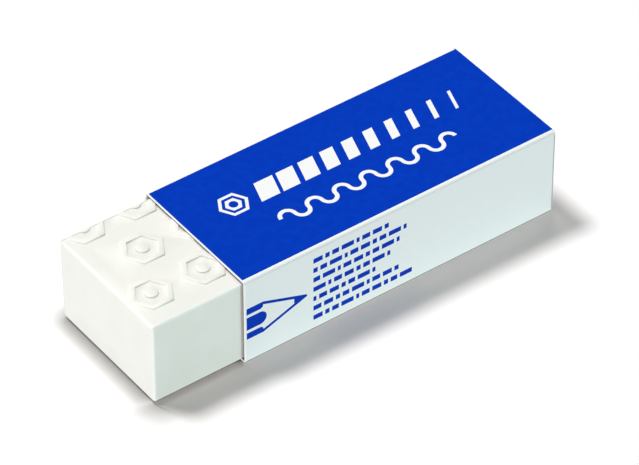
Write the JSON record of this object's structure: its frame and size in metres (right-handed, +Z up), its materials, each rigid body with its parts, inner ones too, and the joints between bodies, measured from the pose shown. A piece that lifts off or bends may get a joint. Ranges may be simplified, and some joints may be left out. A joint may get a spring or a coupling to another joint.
{
  "type": "eraser",
  "caption": "White block eraser with a raised pattern, held by friction in a folded card sleeve that is open at both ends.",
  "frame": {"origin": "middle of the footprint, on the surface that the sleeve rests on", "axes": "+X along the block towards its covered end, +Y away from the side with the pencil print, +Z up"},
  "size_m": [0.065, 0.0224, 0.014],
  "materials": {
    "white_vinyl": "smooth matte, faint moulded grain",
    "white_card": "smooth coated face, bare cut edges",
    "blue_ink": "satin printed face",
    "dark_blue_ink": "satin printed face",
    "base_blue_ink": "satin printed face"
  },
  "bodies": {
    "sleeve": {"card_sleeve": "white_card", "top_print": "blue_ink", "side_print": "dark_blue_ink", "base_print": "base_blue_ink"},
    "block": {"eraser_block": "white_vinyl"}
  },
  "joints": [
    {"name": "block_slide", "type": "slide", "parent": "sleeve", "child": "block", "axis": [-1, 0, 0], "range_m": [-0.066, 0.052]}
  ]
}
